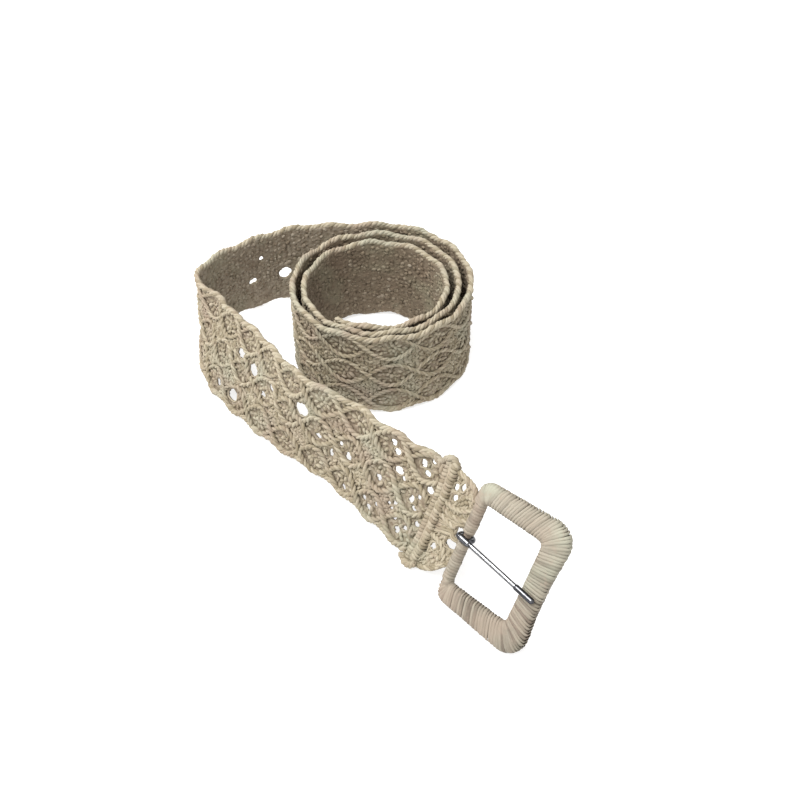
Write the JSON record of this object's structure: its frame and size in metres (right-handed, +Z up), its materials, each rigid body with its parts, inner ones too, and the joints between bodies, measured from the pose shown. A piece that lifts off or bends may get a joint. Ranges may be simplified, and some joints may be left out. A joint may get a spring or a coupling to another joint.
{
  "type": "raffia belt",
  "caption": "Knotted raffia belt, loosely rolled on its edge, with an open lattice band, a crossbar, a short tab and a wound rectangular buckle with a hinged metal prong.",
  "frame": {"origin": "on the surface that the belt stands on, under the middle of the whole belt's box", "axes": "+Z up; the coil lies towards +Y and the buckle end runs towards -Y and +X, its ribbed face turned to -X, -Y and up"},
  "size_m": [0.1926, 0.2652, 0.0594],
  "materials": {
    "knotted_raffia": "matt straw-coloured knotted cord",
    "wound_raffia": "pale straw-coloured strands, wound flat, faint sheen",
    "polished_metal": "polished plated wire"
  },
  "bodies": {
    "belt": {"band": "knotted_raffia", "crossbar": "knotted_raffia", "end_tab": "knotted_raffia", "buckle_frame": "wound_raffia"},
    "prong": {"prong": "polished_metal"}
  },
  "joints": [
    {"name": "prong_hinge", "type": "hinge", "parent": "belt", "child": "prong", "pos_m": [0.05163, -0.08784, 0.03125], "axis": [-0.3637, -0.3854, -0.848], "range_deg": [0, 120]}
  ]
}
